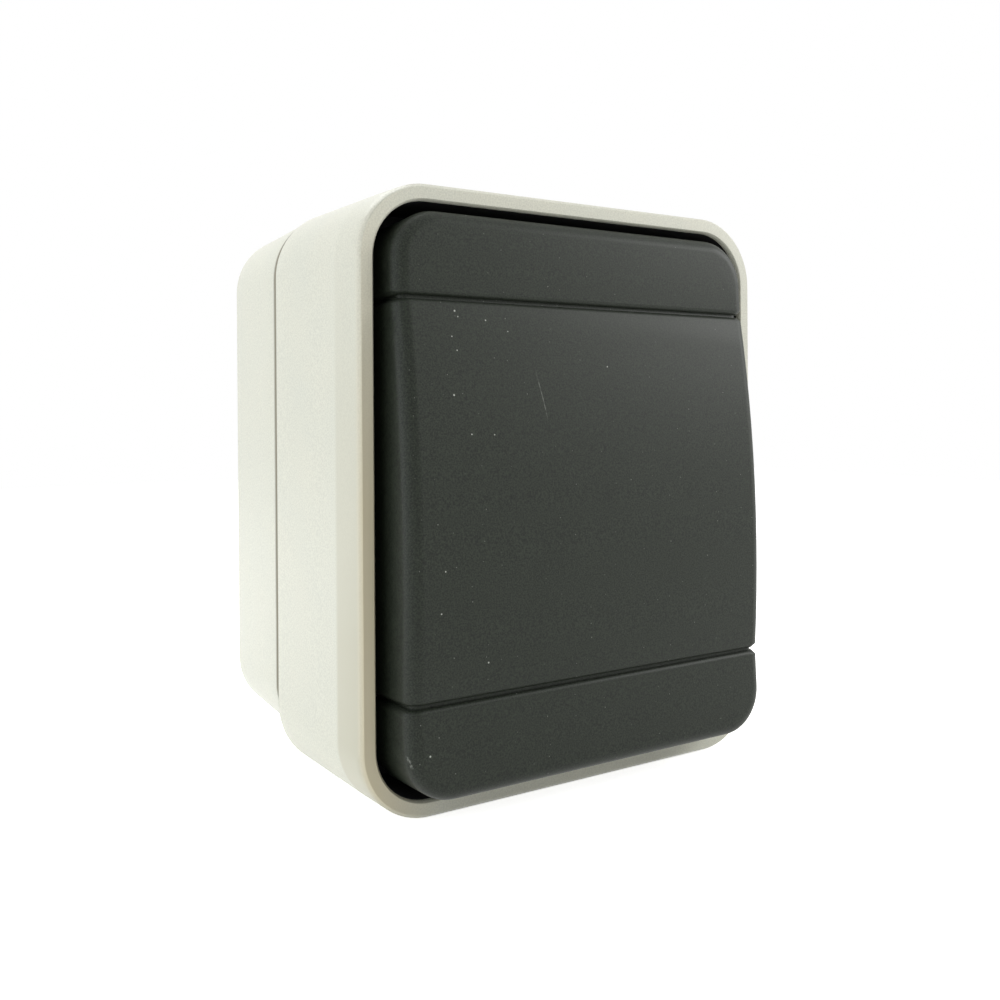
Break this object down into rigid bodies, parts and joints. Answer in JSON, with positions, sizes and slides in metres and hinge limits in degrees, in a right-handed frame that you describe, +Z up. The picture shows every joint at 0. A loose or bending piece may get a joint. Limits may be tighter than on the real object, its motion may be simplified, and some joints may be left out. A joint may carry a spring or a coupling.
{
  "type": "pushbutton switch",
  "caption": "Surface-mounted splash-proof pushbutton switch: pale drafted box and cover, dark full-face rocking key that springs back.",
  "frame": {"origin": "centre of the flat back face, on the wall", "axes": "+Z up as mounted, -Y out of the wall towards the user, +X to the right seen from the front"},
  "size_m": [0.0672, 0.0521, 0.0802],
  "materials": {
    "housing_plastic": "fine moulded grain",
    "key_plastic": "fine moulded grain",
    "lining_rubber": "matt",
    "seal_rubber": "matt",
    "grommet_rubber": "matt",
    "insert_plastic": "satin",
    "insert_cover_plastic": "satin",
    "carrier_plastic": "satin",
    "zinc_steel": "zinc plated",
    "spring_steel": "drawn wire",
    "brass": "stamped",
    "contact_silver": "satin"
  },
  "bodies": {
    "housing": {"back_box": "housing_plastic", "front_cover": "housing_plastic", "opening_lining": "lining_rubber", "box_gasket": "seal_rubber", "insert_seal": "seal_rubber", "cover_screw_seals": "seal_rubber", "top_grommet": "grommet_rubber", "bottom_grommet": "grommet_rubber", "insert_base": "insert_plastic", "insert_cover": "insert_cover_plastic", "cover_screws": "zinc_steel", "insert_cover_screws": "zinc_steel", "insert_fixing_screws": "zinc_steel", "terminal_screws": "zinc_steel", "earth_terminal_screws": "zinc_steel", "terminal_clamps": "zinc_steel", "earth_terminal": "brass", "line_contact_bar": "brass", "load_contact_bar": "brass", "fixed_contact_tips": "contact_silver", "return_spring": "spring_steel"},
    "key": {"rocker": "key_plastic", "rocker_carrier": "carrier_plastic"},
    "plunger": {"plunger": "carrier_plastic", "contact_bridge": "brass", "bridge_tips": "contact_silver", "contact_spring": "spring_steel"}
  },
  "joints": [
    {"name": "rocker_press", "type": "hinge", "parent": "housing", "child": "key", "pos_m": [0, -0.0402, 0], "axis": [1, 0, 0], "range_deg": [0, 5.6], "stiffness_Nm_per_rad": 0.4, "springref_deg": -8.59},
    {"name": "plunger_slide", "type": "slide", "parent": "housing", "child": "plunger", "axis": [0, 1, 0], "range_m": [0, 0.00147], "deforming": ["return_spring"]}
  ],
  "couplings": [
    {"joint": "plunger_slide", "follows": "rocker_press", "m_per_rad": 0.015}
  ]
}
